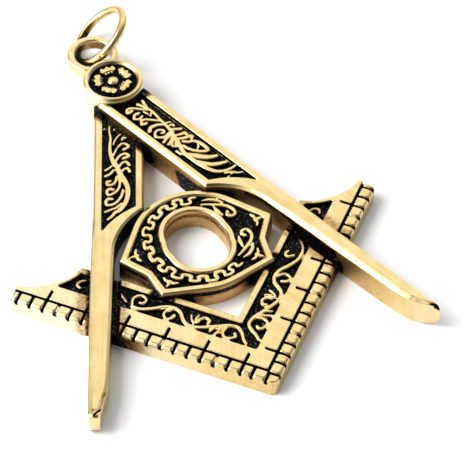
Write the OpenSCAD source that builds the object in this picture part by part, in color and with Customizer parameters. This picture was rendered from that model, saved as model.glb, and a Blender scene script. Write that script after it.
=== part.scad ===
// Square-and-compasses pendant of cast metal with a loose jump ring, lying face up.
// Origin: on the flat back, under the centre of the round hub. +Y runs up the axis to the eye,
// +X to the viewer's right and +Z out of the face. Millimetres.

/* [Compasses] */
// Angle between each leg's outer edge and the axis
leg_angle = 21.5; // [20:0.5:23]
// Distance of a leg's outer edge from the hub's centre
leg_outer = 2.2; // [2:0.1:2.4]
// Distance of the wide upper half's inner edge from the hub's centre
leg_inner = 3.4; // [3.2:0.05:3.7]
// Length along the left leg from the hub's centre to its tip
left_leg_length = 47.1; // [46.5:0.1:48.5]
// Length along the right leg from the hub's centre to its tip
right_leg_length = 48.2; // [47:0.1:49]
// Thickness of the left leg
left_leg_height = 2.7; // [2.5:0.05:3]
// Thickness of the right leg, which laps over the left one
right_leg_height = 3.35; // [3.1:0.05:3.6]
// Depth of the recessed panels in the legs
leg_panel_depth = 0.6; // [0.4:0.1:0.9]

/* [Square] */
// Distance down the axis from the hub's centre to the crossing of the two ruler grooves
corner_drop = 43.7; // [43.2:0.1:44.2]
// Length of an arm, measured along its groove from that crossing
arm_length = 28.7; // [28:0.1:29.5]
// Width of an arm inside its groove
arm_inner = 5.36; // [5.1:0.02:5.6]
// Width of the row of teeth outside the groove
tooth_length = 1.6; // [1.4:0.1:1.8]
// Spacing of the ruler teeth
tooth_pitch = 1.49; // [1.46:0.01:1.5]
// Thickness of the square
square_height = 2; // [1.8:0.1:2.2]

/* [Hub and eye] */
// Radius of the hub
hub_radius = 3.5; // [3.4:0.1:3.6]
// Height of the hub's rim above the back
hub_height = 4; // [3.8:0.1:4.4]
// Distance from the hub's centre up the axis to the eye's centre
eye_reach = 6.05; // [5.95:0.05:6.15]
// Radius of the eye's hole
eye_hole = 2.1; // [2.05:0.05:2.15]
// Width of the eye's band
eye_band = 0.88; // [0.8:0.02:0.9]

/* [Roundel] */
// Distance down the axis from the hub's centre to the roundel's centre
roundel_drop = 24.85; // [24.65:0.1:25.05]
// Half the width of the roundel's oval hole
roundel_hole = 3.1; // [2.8:0.1:3.4]
// How much further the hole reaches up and down than to the sides
roundel_stretch = 1.05; // [0.85:0.1:1.25]
// Outer radius of the roundel
roundel_radius = 7.2; // [7.1:0.05:7.4]
// Thickness of the roundel
roundel_height = 2.6; // [2.4:0.1:2.65]

/* [Jump ring] */
// Diameter of the ring's wire
wire = 1; // [0.8:0.05:1.05]
// Radius of the ring's centreline
ring_radius = 3.7; // [3.67:0.01:3.75]

/* [Hidden] */
$fn = 96;
gold = "#e6bd66";
through = 1;

// Legs: an outline is drawn with the leg pointing along -Y and its outer edge on +X.
leg_start = 1.3;
ogee_radius = 7.9;
waist_inner = 0.2;
waist_along = 25;
tip_inner = 0.45;
tip_slope = 3;
outer_rim = 1;
inner_rim = 0.9;
panel_ogee_radius = 8.87;
panel_ogee = [-6.66, -26.2];
upper_bevel = 0.45;
lower_bevel = 0.55;
outer_bevel = 0.35;
shoulder_along = waist_along - sqrt(pow(ogee_radius, 2) - pow(ogee_radius + waist_inner - leg_inner, 2));

// Square: an arm is drawn along +X from the crossing of the grooves, with its teeth on -Y.
groove_width = 0.27;
groove_depth = 0.5;
tooth_cut_width = 0.28;
tooth_cut_depth = 0.45;
tooth_flat = 0.95;
tooth_slope_drop = 0.4;
first_tick = 2.5;
ticks_per_mark = 3;
mark_length = 1.25;
cut_count = floor((arm_length - first_tick) / tooth_pitch) + 1;
band_width = 2;
square_rim = 0.7;
square_panel_depth = 0.5;
end_radius = 6.92;
end_centre = [arm_length + 1.27, arm_inner + 1.86];
end_rim = 0.45;
corner_round = 0.8;

// Hub and eye
hub_rim = 0.82;
hub_floor = 3.4;
rose_height = 3.9;
rose_inner = 1.2;
rose_outer = 2.15;
rose_petals = 5;
rose_turn = 54;
petal_gap = 0.3;
button_radius = 0.65;
button_height = 3.95;
eye_aside = -0.15;
eye_bottom = 1.3;
eye_top = 2.7;
eye_edge = 0.3;
neck_width = 2.4;
sunk = 0.2;

// Roundel: four points stand out of its edge, two towards the legs and two over the square.
roundel_rim = 0.75;
roundel_panel_depth = 0.6;
point_root = 0.05;
side_point = [8.9, 0.3];
low_point = [6.5, -5.85];

// Jump ring: where it has come to rest, hooked round the far side of the eye's band
ring_centre = [1.46, 8.01, 3.05];
ring_tilt = 43;
ring_heading = 154.3;

module bevel_cut(from, to, size, top) {
    // Takes the upper edge off a wall between two points; the metal lies to the left of the run.
    run = to - from;
    translate([from[0], from[1], top])
        rotate([0, 0, atan2(run[1], run[0])])
            rotate([45, 0, 0])
                translate([0, -size * sqrt(0.5), -2 * size])
                    cube([norm(run), size * sqrt(2), 4 * size]);
}

module leg_plan(length) {
    difference() {
        translate([-leg_inner, -waist_along])
            square([leg_inner + leg_outer, waist_along - leg_start]);
        translate([-waist_inner - ogee_radius, -waist_along])
            circle(r = ogee_radius);
    }
    // The narrow lower half, with its blunt tip
    polygon([
        [leg_outer, sunk - waist_along],
        [-waist_inner, sunk - waist_along],
        [-waist_inner, -waist_along],
        [tip_inner, tip_slope - length],
        [tip_inner + 0.3, 1.9 - length],
        [tip_inner + 0.7, 0.95 - length],
        [tip_inner + 1.15, 0.25 - length],
        [leg_outer - 0.25, -length],
        [leg_outer, 0.35 - length]
    ]);
}

module leg_panel_plan() {
    difference() {
        translate([inner_rim - leg_inner, -waist_along])
            square([leg_inner + leg_outer - inner_rim - outer_rim, waist_along]);
        translate(panel_ogee)
            circle(r = panel_ogee_radius);
    }
}

module leg(length, height) {
    color(gold) difference() {
        linear_extrude(height) leg_plan(length);
        translate([0, 0, height - leg_panel_depth])
            linear_extrude(leg_panel_depth + through) leg_panel_plan();
        bevel_cut([-leg_inner, -leg_start], [-leg_inner, -shoulder_along], upper_bevel, height);
        bevel_cut([-waist_inner, -waist_along], [tip_inner, tip_slope - length], lower_bevel, height);
        bevel_cut([leg_outer, -length], [leg_outer, -leg_start], outer_bevel, height);
    }
}

module right_leg() {
    rotate([0, 0, leg_angle]) leg(right_leg_length, right_leg_height);
}

module left_leg() {
    mirror([1, 0, 0]) rotate([0, 0, leg_angle]) leg(left_leg_length, left_leg_height);
}

module arm_plan() {
    // The ends of the row of teeth are rounded
    difference() {
        union() {
            translate([-tooth_length + corner_round, -tooth_length])
                square([arm_length + tooth_length - 2 * corner_round, arm_inner + tooth_length]);
            translate([0, corner_round - tooth_length])
                square([arm_length, arm_inner + tooth_length - corner_round]);
            for (along = [corner_round - tooth_length, arm_length - corner_round])
                translate([along, corner_round - tooth_length])
                    circle(r = corner_round);
        }
        translate(end_centre) circle(r = end_radius);
    }
}

module arm_panel_plan() {
    difference() {
        translate([band_width, band_width])
            square([arm_length - end_rim - band_width, arm_inner - square_rim - band_width]);
        translate(end_centre) circle(r = end_radius + end_rim);
    }
}

module both_arms() {
    for (side = [0, 1])
        mirror([side, 0, 0]) rotate([0, 0, 45]) children();
}

module arm_cuts() {
    // The ruler groove, its tooth cuts and the longer marks
    translate([-2 * tooth_length, -groove_width, square_height - groove_depth])
        cube([arm_length + 3 * tooth_length, groove_width, groove_depth + through]);
    for (along = concat([first_tick / 2], [for (i = [0 : cut_count - 1]) first_tick + i * tooth_pitch]))
        translate([along - tooth_cut_width / 2, -2 * tooth_length, square_height - tooth_cut_depth])
            cube([tooth_cut_width, 2 * tooth_length, tooth_cut_depth + through]);
    for (i = [0 : ticks_per_mark : cut_count - 1])
        translate([first_tick + i * tooth_pitch - tooth_cut_width / 2, -groove_width / 2, square_height - tooth_cut_depth])
            cube([tooth_cut_width, mark_length + groove_width / 2, tooth_cut_depth + through]);
    // The slope on the teeth
    translate([-2 * tooth_length, -tooth_flat, square_height])
        rotate([atan2(tooth_slope_drop, tooth_length - tooth_flat), 0, 0])
            translate([0, -2 * tooth_length, 0])
                cube([arm_length + 3 * tooth_length, 2 * tooth_length, through]);
}

module square_part() {
    color(gold) translate([0, -corner_drop, 0]) difference() {
        linear_extrude(square_height) both_arms() arm_plan();
        translate([0, 0, square_height - square_panel_depth])
            linear_extrude(square_panel_depth + through) both_arms() arm_panel_plan();
        both_arms() arm_cuts();
    }
}

module hub() {
    color(gold) {
        rotate_extrude()
            polygon([
                [0, 0],
                [hub_radius, 0],
                [hub_radius, hub_height - 0.4],
                [hub_radius - 0.2, hub_height - 0.1],
                [hub_radius - hub_rim / 2, hub_height],
                [hub_radius - hub_rim + 0.2, hub_height - 0.1],
                [hub_radius - hub_rim, hub_height - 0.4],
                [hub_radius - hub_rim, hub_floor],
                [0, hub_floor]
            ]);
        // The rose: a ring of petals round a button
        translate([0, 0, hub_floor - sunk])
            cylinder(r = button_radius, h = button_height - hub_floor + sunk);
        difference() {
            translate([0, 0, hub_floor - sunk])
                cylinder(r = rose_outer, h = rose_height - hub_floor + sunk);
            translate([0, 0, hub_floor - through])
                cylinder(r = rose_inner, h = rose_height);
            for (i = [0 : rose_petals - 1])
                rotate([0, 0, rose_turn + i * 360 / rose_petals])
                    translate([0, -petal_gap / 2, hub_floor - through])
                        cube([hub_radius, petal_gap, rose_height]);
        }
    }
}

module eye() {
    color(gold) {
        translate([eye_aside, eye_reach, 0])
            rotate_extrude()
                polygon([
                    [eye_hole, eye_bottom + eye_edge],
                    [eye_hole + eye_edge, eye_bottom],
                    [eye_hole + eye_band - eye_edge, eye_bottom],
                    [eye_hole + eye_band, eye_bottom + eye_edge],
                    [eye_hole + eye_band, eye_top - eye_edge],
                    [eye_hole + eye_band - eye_edge, eye_top],
                    [eye_hole + eye_edge, eye_top],
                    [eye_hole, eye_top - eye_edge]
                ]);
        // Solder between the band and the hub
        translate([-neck_width / 2, hub_radius / 2, eye_bottom + eye_edge])
            cube([neck_width, eye_reach - eye_hole - sunk - hub_radius / 2, eye_top - eye_bottom - 2 * eye_edge]);
    }
}

module pointed_disc(radius, inset) {
    // A disc with four points, each drawn with two lines that run into the edge almost along it
    circle(r = radius);
    for (tip = [side_point, low_point], side = [0, 1]) {
        reach = norm(tip) * (1 - inset / roundel_radius);
        heading = atan2(tip[1], tip[0]);
        spread = acos(radius / reach);
        root = radius - point_root;
        mirror([side, 0])
            polygon([
                [0, 0],
                root * [cos(heading - spread), sin(heading - spread)],
                reach * [cos(heading), sin(heading)],
                root * [cos(heading + spread), sin(heading + spread)]
            ]);
    }
}

module oval(half_width) {
    for (y = [-roundel_stretch, roundel_stretch])
        translate([0, y]) circle(r = half_width);
    translate([-half_width, -roundel_stretch]) square([2 * half_width, 2 * roundel_stretch]);
}

module roundel() {
    color(gold) translate([0, -roundel_drop, 0]) difference() {
        linear_extrude(roundel_height) pointed_disc(roundel_radius, 0);
        translate([0, 0, roundel_height - roundel_panel_depth])
            linear_extrude(roundel_panel_depth + through)
                difference() {
                    pointed_disc(roundel_radius - roundel_rim, roundel_rim);
                    oval(roundel_hole + roundel_rim);
                }
        translate([0, 0, -through])
            linear_extrude(roundel_height + 2 * through) oval(roundel_hole);
    }
}

module pendant_casting() {
    union() {
        left_leg();
        right_leg();
        hub();
        eye();
        square_part();
        roundel();
    }
}

module jump_ring() {
    color(gold) translate(ring_centre)
        rotate([0, ring_tilt, ring_heading])
            rotate_extrude()
                translate([ring_radius, 0]) circle(d = wire);
}

pendant_casting();
jump_ring();
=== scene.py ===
import math

import bpy
import numpy as np
from mathutils import Matrix, Vector
from mathutils.bvhtree import BVHTree


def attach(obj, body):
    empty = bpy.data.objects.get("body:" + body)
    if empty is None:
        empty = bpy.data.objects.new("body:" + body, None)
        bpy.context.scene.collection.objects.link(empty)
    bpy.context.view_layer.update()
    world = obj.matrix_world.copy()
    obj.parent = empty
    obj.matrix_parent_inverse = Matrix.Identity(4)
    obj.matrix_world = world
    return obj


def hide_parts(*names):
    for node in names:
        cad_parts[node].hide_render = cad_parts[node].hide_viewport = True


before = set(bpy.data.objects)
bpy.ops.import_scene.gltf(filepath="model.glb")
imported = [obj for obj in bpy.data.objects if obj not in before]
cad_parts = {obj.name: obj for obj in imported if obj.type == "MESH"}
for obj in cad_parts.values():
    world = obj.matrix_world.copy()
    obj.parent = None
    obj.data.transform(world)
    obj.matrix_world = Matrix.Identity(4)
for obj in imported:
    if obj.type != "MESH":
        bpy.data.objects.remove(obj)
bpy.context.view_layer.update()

# Camera
# A long lens on a stand at the pendant's lower left, looking down at about 48 degrees.
azimuth = math.radians(23.59)
elevation = math.radians(47.86)
roll = math.radians(0.7)
distance = 0.2744
look_at = Vector((0.00522, -0.02226, 0))
sensor_width = 36
image_width = 465
focal_length_in_pixels = 2514
backwards = Vector((
    -math.sin(azimuth) * math.cos(elevation),
    -math.cos(azimuth) * math.cos(elevation),
    math.sin(elevation),
))
sideways = Vector((math.cos(azimuth), -math.sin(azimuth), 0))
upwards = backwards.cross(sideways)
camera_x = math.cos(roll) * sideways + math.sin(roll) * upwards
camera_y = -math.sin(roll) * sideways + math.cos(roll) * upwards
bpy.ops.object.camera_add(location=look_at + backwards * distance)
camera = bpy.context.object
camera.name = "camera"
camera.rotation_euler = Matrix((camera_x, camera_y, backwards)).transposed().to_euler()
camera.data.sensor_fit = "HORIZONTAL"
camera.data.sensor_width = sensor_width
camera.data.lens = sensor_width * focal_length_in_pixels / image_width
camera.data.clip_start = 0.005
camera.data.clip_end = 5
bpy.context.scene.camera = camera
bpy.context.scene.view_settings.view_transform = "Standard"


# Table
# A sheet of matt white card. It is pale enough to burn out to white round the soft shadows.
def linear(colour):
    """An sRGB colour such as "F2C878" as a linear RGBA tuple."""
    values = [int(colour[k:k + 2], 16) / 255 for k in (0, 2, 4)]
    values = [c / 12.92 if c <= 0.04045 else ((c + 0.055) / 1.055) ** 2.4 for c in values]
    return (*values, 1)


def new_material(name):
    """A node material, and its Principled shader."""
    material = bpy.data.materials.new(name)
    material.use_nodes = True
    return material, material.node_tree.nodes["Principled BSDF"]


def feed(material, node, inputs):
    """Gives sockets of a node their values, or feeds them from another node or from one of its outputs."""
    for socket, value in inputs.items():
        if isinstance(value, bpy.types.Node):
            value = value.outputs["Result" if "Result" in value.outputs else 0]
        if isinstance(value, bpy.types.NodeSocket):
            material.node_tree.links.new(value, node.inputs[socket])
        else:
            node.inputs[socket].default_value = value


def add_node(material, kind, inputs=None, **settings):
    """One node with its settings. inputs pairs a socket with its value or with what feeds it."""
    made = material.node_tree.nodes.new(kind)
    for name, value in settings.items():
        setattr(made, name, value)
    feed(material, made, inputs or {})
    return made


def none_selected():
    """Leaves nothing selected, in object mode."""
    if bpy.context.object and bpy.context.object.mode == "EDIT":
        bpy.ops.object.mode_set(mode="OBJECT")
    bpy.ops.object.select_all(action="DESELECT")


none_selected()
bpy.ops.mesh.primitive_plane_add(size=1.4, location=(0, 0, 0))
table = bpy.context.object
table.name = "table"
card, shader = new_material("matt_white_card")
# Paper fibres make the faintest mottling, about 2 mm across
where = add_node(card, "ShaderNodeTexCoord").outputs["Object"]
fibres = add_node(card, "ShaderNodeTexNoise", {"Vector": where, "Scale": 500.0, "Detail": 3.0})
tint = add_node(card, "ShaderNodeMix", {"Factor": fibres, "A": linear("FAFAFA"), "B": linear("FEFEFE")},
                data_type="RGBA")
feed(card, shader, {"Base Color": tint, "Roughness": 0.85, "Specular IOR Level": 0.2})
table.data.materials.append(card)


# Light
# A dim studio, pale at the left and behind, where the flat tops reflect it. A key softbox high at the left
# gives the shadows their side, and a white card low at the left whitens the bevels.
world = bpy.data.worlds.new("studio")
bpy.context.scene.world = world
world.use_nodes = True
heading = add_node(world, "ShaderNodeTexCoord").outputs["Generated"]


def by_side(direction, near, full, low, high):
    """A strength that goes from low to high as a direction comes to point to one side."""
    towards = add_node(world, "ShaderNodeVectorMath", {0: heading, 1: direction}, operation="DOT_PRODUCT")
    return add_node(world, "ShaderNodeMapRange", {
        "Value": towards.outputs["Value"], "From Min": near, "From Max": full, "To Min": low, "To Max": high,
    }, interpolation_type="SMOOTHSTEP")


pale_left = by_side((-0.86, 0, 0.51), 0.6, 0.9, 0.27, 1.3)
pale_behind = by_side((0.42, 0.74, 0.52), 0.55, 0.93, 0.27, 1.35)
dark_in_front = by_side(backwards, 0.82, 0.98, 1.0, 0.25)
pale = add_node(world, "ShaderNodeMath", {0: pale_left, 1: pale_behind}, operation="MAXIMUM")
strength = add_node(world, "ShaderNodeMath", {0: dark_in_front, 1: pale}, operation="MULTIPLY")
feed(world, world.node_tree.nodes["Background"], {"Color": linear("FAFBFD"), "Strength": strength})


def softbox(name, place, aim, size, watts):
    """A square lamp that faces a point; place and aim are in metres."""
    bpy.ops.object.light_add(type="AREA", location=place)
    lamp = bpy.context.object
    lamp.name = name
    lamp.rotation_euler = (Vector(place) - Vector(aim)).to_track_quat("Z", "Y").to_euler()
    lamp.data.size = size
    lamp.data.energy = watts


softbox("key_softbox", (-0.29, 0.15, 0.38), (0, -0.02, 0), 0.30, 1.8)
softbox("white_card", (-0.40, 0.07, 0.19), (0, -0.02, 0), 0.30, 1.1)


# Finish of the casting
# Brass cast from a wax, gold plated, blackened all over and polished back: bright on the high places,
# satin tan on the cast walls, and glossy black in every hollow.
def antiqued_gold(name):
    """The casting's material. It reads two attributes: the first, from 0 clean to 1 black, is the patina,
    with painted shade in it on some pieces; the second is for the walls.

    The second goes from 1 for the cast skin to 0 where polished and -1 where the surface is painted pale, a
    painted reflection of bright surroundings.
    """
    gold, shader = new_material(name)
    where = add_node(gold, "ShaderNodeTexCoord").outputs["Object"]
    patina_and_shade = add_node(gold, "ShaderNodeAttribute", attribute_name="patina_and_shade").outputs["Fac"]
    wall = add_node(gold, "ShaderNodeAttribute", attribute_name="wall").outputs["Fac"]
    # The blackening breaks up at its border in patches about 0.4 mm across
    patches = add_node(gold, "ShaderNodeTexNoise", {"Vector": where, "Scale": 2500.0, "Detail": 3.0})
    ragged = add_node(gold, "ShaderNodeMath", {0: patches, 1: 0.4, 2: -0.2}, operation="MULTIPLY_ADD")
    depth = add_node(gold, "ShaderNodeMath", {0: patina_and_shade, 1: ragged}, operation="ADD")
    black = add_node(gold, "ShaderNodeMapRange", {"Value": depth, "From Min": 0.45, "From Max": 0.62},
                     interpolation_type="SMOOTHSTEP")
    stain_and_shade = add_node(gold, "ShaderNodeMapRange", {"Value": depth, "From Min": 0.12, "From Max": 0.5},
                     interpolation_type="SMOOTHSTEP")
    # Pores of the cast skin, about 0.15 mm across, hold black on the walls only
    pores = add_node(gold, "ShaderNodeTexNoise", {"Vector": where, "Scale": 5500.0, "Detail": 1.0})
    pitted = add_node(gold, "ShaderNodeMapRange", {"Value": pores, "From Min": 0.66, "From Max": 0.72})
    pits = add_node(gold, "ShaderNodeMath", {0: pitted, 1: wall}, operation="MULTIPLY")
    dark = add_node(gold, "ShaderNodeMath", {0: black, 1: pits}, operation="MAXIMUM")
    # Polish varies from place to place over about 2 mm, and in fine strokes of the wheel along the legs
    clouds = add_node(gold, "ShaderNodeTexNoise", {"Vector": where, "Scale": 600.0, "Detail": 2.0})
    folded = add_node(gold, "ShaderNodeVectorMath", {0: where}, operation="ABSOLUTE")
    along_leg = add_node(gold, "ShaderNodeMapping", {
        "Vector": folded, "Rotation": (0, 0, -math.radians(21.5)), "Scale": (1 / 2600, 1 / 130, 1 / 800),
    }, vector_type="TEXTURE")
    strokes = add_node(gold, "ShaderNodeTexNoise", {"Vector": along_leg, "Scale": 1.0, "Detail": 2.0})
    both = add_node(gold, "ShaderNodeMath", {0: clouds, 1: strokes}, operation="ADD")
    buffed = add_node(gold, "ShaderNodeMapRange", {"Value": both, "From Min": 0.7, "From Max": 1.3})
    # Colours, each over the last: brighter polish, a painted pale reflection, tan cast skin, brown stain with
    # painted shade in it on some pieces, and black
    # Where the walls' value is below 0 the surface is painted pale, a painted reflection of bright
    # surroundings
    pale = add_node(gold, "ShaderNodeMapRange", {"Value": wall, "From Min": 0.0, "From Max": -1.0})
    tan = add_node(gold, "ShaderNodeMix", {"Factor": clouds, "A": linear("C89F64"), "B": linear("DCBA84")},
                   data_type="RGBA")
    colour = linear("DCBF7C")
    for share, over in ((buffed, linear("E9D49E")), (pale, linear("FFF4D6")), (wall, tan),
                        (stain_and_shade, linear("8E6430")), (dark, linear("070605"))):
        colour = add_node(gold, "ShaderNodeMix", {"Factor": share, "A": colour, "B": over}, data_type="RGBA")
    metal = add_node(gold, "ShaderNodeMapRange", {"Value": dark, "To Min": 1.0, "To Max": 0.0})
    satin = add_node(gold, "ShaderNodeMapRange", {"Value": wall, "To Min": 0.22, "To Max": 0.36})
    rough = add_node(gold, "ShaderNodeMapRange", {"Value": dark, "To Min": satin, "To Max": 0.36})
    # The black is pebbled: most of it is dull and specks of it are glossy
    pebbles = add_node(gold, "ShaderNodeTexNoise", {"Vector": where, "Scale": 4300.0, "Detail": 1.0})
    glossy = add_node(gold, "ShaderNodeMapRange", {
        "Value": pebbles, "From Min": 0.57, "From Max": 0.74, "To Min": 0.03, "To Max": 1.0,
    }, interpolation_type="SMOOTHSTEP")
    # Grain of the cast skin, about 0.12 mm: strong in the black and on the walls, almost gone where polished
    grain = add_node(gold, "ShaderNodeTexNoise", {"Vector": where, "Scale": 5200.0, "Detail": 2.0})
    coarse = add_node(gold, "ShaderNodeMath", {0: dark, 1: wall}, operation="MAXIMUM")
    height = add_node(gold, "ShaderNodeMapRange", {"Value": coarse, "To Min": 0.04, "To Max": 0.8})
    relief = add_node(gold, "ShaderNodeBump", {"Strength": height, "Distance": 0.00004, "Height": grain})
    feed(gold, shader, {"Base Color": colour, "Metallic": metal, "Roughness": rough,
                        "Specular IOR Level": glossy, "Normal": relief})
    return gold


def smoothstep(low, high, values):
    """0 below low, 1 above high, and a smooth rise between."""
    share = np.clip((np.asarray(values) - low) / (high - low), 0, 1)
    return share * share * (3 - 2 * share)


def fade(low, high, values):
    """1 below low, 0 above high, and a smooth fall between."""
    return 1 - smoothstep(low, high, values)


def coordinates(piece, normals=False):
    """A mesh's vertex places, or its vertex normals, as an array."""
    source, field = (piece.data.vertex_normals, "vector") if normals else (piece.data.vertices, "co")
    values = np.empty(len(source) * 3, np.float32)
    source.foreach_get(field, values)
    return values.reshape(-1, 3)


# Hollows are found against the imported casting: a point is as dark as its surroundings shut it in
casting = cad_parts["pendant_casting"]
casting_tree = BVHTree.FromPolygons(
    [v.co * 1000 for v in casting.data.vertices],
    [tuple(p.vertices) for p in casting.data.polygons],
)
golden_turn = math.pi * (3 - math.sqrt(5))
ray_count = 28
rays = []
for k in range(ray_count):
    z = 1 - 2 * (k + 0.5) / ray_count
    flat = math.sqrt(1 - z * z)
    rays.append(Vector((flat * math.cos(golden_turn * k), flat * math.sin(golden_turn * k), z)))


def shut_in(places, normals, reach=2.2, lift=0.13):
    """How far each point is shut in by the casting within reach, from 0 open to 1. Millimetres."""
    found = np.zeros(len(places))
    for k, (place, normal) in enumerate(zip(places, normals)):
        normal = Vector(normal)
        start = Vector(place) + normal * lift
        total = 0
        hidden = 0
        for ray in rays:
            facing = ray.dot(normal)
            if facing > 0.1:
                total += facing
                _, hit_normal, _, hit = casting_tree.ray_cast(start, ray, reach)
                # A ray that meets the casting from inside started below its skin and counts as open
                if hit is not None and ray.dot(hit_normal) < 0:
                    hidden += facing * (1 - 0.6 * hit / reach)
        found[k] = hidden / max(total, 1e-6)
    return found


gold_finish = antiqued_gold("antiqued_gold")


def plate(piece, patina_and_shade, wall):
    """Brings a piece from millimetres to metres and gives it its finish, with the two attributes."""
    for name, values in (("patina_and_shade", patina_and_shade), ("wall", wall)):
        layer = piece.data.attributes.new(name, "FLOAT", "POINT")
        layer.data.foreach_set("value", np.asarray(values, np.float32))
    piece.data.transform(Matrix.Scale(0.001, 4))
    piece.data.shade_smooth()
    piece.data.materials.append(gold_finish)


def finish_casting(piece, place, sunk=0.0, level=0.0, cast_walls=1.0):
    """Puts a casting's piece in place, ages it and gives it its finish.

    sunk is how black each vertex is by its own relief, and level adds to or takes from the patina. The walls'
    value is how much of the cast skin the walls keep, from 1 as cast to 0 polished; below 0 they are painted
    pale, a painted reflection of bright surroundings.
    """
    piece.data.transform(place)
    piece.data.update()
    normals = coordinates(piece, normals=True)
    patina_and_shade = smoothstep(0.1, 0.56, shut_in(coordinates(piece), normals)) + level
    # The painted pale reflection reaches the tops too, though less
    cast_walls = np.asarray(cast_walls)
    upright = fade(0.3, 0.7, normals[:, 2])
    wall = cast_walls * np.where(cast_walls < 0, 0.4 + 0.6 * upright, upright)
    plate(piece, np.maximum(patina_and_shade, sunk), wall)
    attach(piece, "root")
    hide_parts("pendant_casting")


# Compasses
# Two legs, each cast with a long recessed panel above and a plain narrow lower half with a bevel on its
# inner side. The right leg laps over the left one. A section line is swept down each leg.
leg_angle = math.radians(21.5)
leg_start = 1.3
# How far the outer edge and the wide half's inner edge lie from the leg's middle line
leg_outer = 2.2
leg_inner = 3.4
# The inner edge sweeps from the wide half to the narrow one in an arc that ends here
ogee_radius = 7.9
waist_inner = 0.2
waist_along = 25
# The panel's edges across the leg, its depth, and the centre of the arc that brings it to a point
panel_outer = 1.2
panel_inner = -2.5
panel_depth = 0.6
panel_ogee = (-6.66, 26.2)
panel_ogee_radius = 8.87


def rounded_section(corners, steps=4):
    """A closed section line from corners (across, up, rounding), each rounded and held by two points."""
    line = []
    count = len(corners)
    for k, (across, up, rounding) in enumerate(corners):
        here = Vector((across, up))
        before = Vector(corners[k - 1][:2]) - here
        after = Vector(corners[(k + 1) % count][:2]) - here
        start = before * min(rounding / max(before.length, 1e-6), 0.42)
        end = after * min(rounding / max(after.length, 1e-6), 0.42)
        line.append(here + before * min((rounding + 0.05) / max(before.length, 1e-6), 0.47))
        for step in range(steps + 1):
            t = step / steps
            line.append(here + start * (1 - t) ** 2 + end * t ** 2)
        line.append(here + after * min((rounding + 0.05) / max(after.length, 1e-6), 0.47))
    return line


def tube_faces(rings, count):
    """Faces that join rings of count vertices in a row and close both ends."""
    faces = [list(range(count - 1, -1, -1)), [(rings - 1) * count + k for k in range(count)]]
    for row in range(rings - 1):
        for k in range(count):
            a, b = row * count + k, row * count + (k + 1) % count
            faces.append([a, b, b + count, a + count])
    return faces


def new_piece(name, vertices, edges, faces):
    """A mesh object, active and the only one selected."""
    mesh = bpy.data.meshes.new(name)
    mesh.from_pydata(vertices, edges, faces)
    piece = bpy.data.objects.new(name, mesh)
    bpy.context.scene.collection.objects.link(piece)
    none_selected()
    piece.select_set(True)
    bpy.context.view_layer.objects.active = piece
    return piece


def between(values, low, high, soft):
    """1 from low to high, with soft ends."""
    return smoothstep(low, low + soft, values) * fade(high - soft, high, values)


def leg_inner_edge(v, length, inset=0.0, nose=1.9):
    """The leg's inner edge, or a line that runs inset from it, at v from the hub. It ends at nose."""
    line = inset - leg_inner
    if v < waist_along:
        arc = (ogee_radius + inset) ** 2 - (waist_along - v) ** 2
        return max(line, math.sqrt(arc) - waist_inner - ogee_radius) if arc > 0 else line
    to_tip = [(waist_along, -waist_inner), (length - 5.5, 0.25), (length - 4.2, 0.35), (length - 3.2, 0.48),
              (length - 2.6, 0.7)]
    # From there it swings over to the nose
    for back, share in ((1.9, 0.32), (1.3, 0.53), (0.8, 0.74), (0.4, 0.88), (0.15, 0.95), (0, 1)):
        to_tip.append((length - back, 0.63 + share * (nose - 0.63)))
    return float(np.interp(v, *zip(*to_tip))) + inset


def leg_lines(v, length, nose, widen, slip):
    """Across the leg at v: its inner edge, its bevel's crest, its outer edge's shoulder, and that edge."""
    outer = leg_outer + widen * smoothstep(16, 36, v)
    past = max(v - (length - 0.7), 0) / 0.7
    right = outer - min(outer - nose, 0.35) * (1 - math.sqrt(max(1 - past * past, 0)))
    shift = slip * fade(17, 22, v)
    left = min(leg_inner_edge(v, length, nose=nose) - shift, right - 0.02)
    wide = (0.25 + 0.12 * smoothstep(20, 26, v)) * (1 - 0.5 * smoothstep(length - 3.0, length - 1.0, v))
    shoulder = right - min(0.3 + 1.2 * widen * smoothstep(19, 23, v), (right - left) * 0.25)
    crest = min(leg_inner_edge(v, length, wide, nose) - shift, shoulder - min(0.4, (right - left) * 0.3))
    return left, max(crest, left + 0.02), shoulder, right


def rounded_end(v, length, far, over):
    """How far the tip's rounding has come in at v: 0 up to over before the end, and far at the end."""
    past = np.clip((v - (length - over)) / over, 0, 1)
    return far * (1 - np.sqrt(1 - past * past))


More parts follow.
